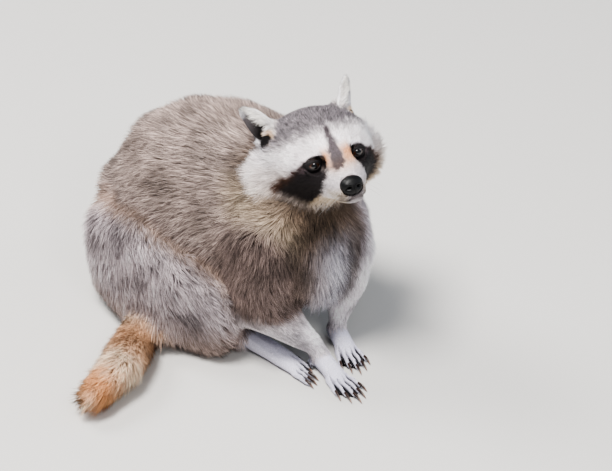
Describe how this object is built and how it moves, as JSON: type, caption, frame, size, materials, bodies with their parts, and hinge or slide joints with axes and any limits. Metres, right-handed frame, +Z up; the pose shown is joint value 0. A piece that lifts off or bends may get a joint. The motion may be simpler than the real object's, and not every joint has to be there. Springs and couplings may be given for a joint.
{
  "type": "seated raccoon model",
  "caption": "Life-size still model of a raccoon sitting on its haunches, head turned to its right, ringed tail laid along the floor.",
  "frame": {"origin": "on the floor, on the flat under the belly that the animal sits on", "axes": "-Y is the way the trunk faces, +X is the animal's left side, +Z is up"},
  "size_m": [0.3849, 0.3759, 0.2668],
  "materials": {
    "grey_coat": "grizzled grey-brown guard hairs with cream bands",
    "pale_coat": "whitish grey fur of the forelegs",
    "face_coat": "short fur, white brows and cheeks with a black-brown mask",
    "ear_coat": "short white-rimmed ear fur",
    "tail_coat": "bushy cream and orange-brown rings",
    "foot_coat": "very short pale grey fur",
    "eye": "wet dark brown",
    "nose": "damp black pebbled skin",
    "claw": "dark brown horn, paler at the tips"
  },
  "bodies": {
    "root": {"head": "face_coat", "nose": "nose", "eye_right": "eye", "ear_right": "ear_coat", "eye_left": "eye", "ear_left": "ear_coat", "forepaw_right": "foot_coat", "forepaw_right_claw_1": "claw", "forepaw_right_claw_2": "claw", "forepaw_right_claw_3": "claw", "forepaw_right_claw_4": "claw", "forepaw_right_claw_5": "claw", "forepaw_left": "foot_coat", "forepaw_left_claw_1": "claw", "forepaw_left_claw_2": "claw", "forepaw_left_claw_3": "claw", "forepaw_left_claw_4": "claw", "forepaw_left_claw_5": "claw", "hind_foot_right": "foot_coat", "hind_foot_right_claw_1": "claw", "hind_foot_right_claw_2": "claw", "hind_foot_right_claw_3": "claw", "hind_foot_right_claw_4": "claw", "hind_foot_right_claw_5": "claw", "hind_foot_left": "foot_coat", "hind_foot_left_claw_1": "claw", "hind_foot_left_claw_2": "claw", "hind_foot_left_claw_3": "claw", "hind_foot_left_claw_4": "claw", "hind_foot_left_claw_5": "claw", "neck": "grey_coat", "trunk": "grey_coat", "tail": "tail_coat", "thigh_right": "grey_coat", "foreleg_right": "pale_coat", "thigh_left": "grey_coat", "foreleg_left": "pale_coat"}
  },
  "joints": []
}
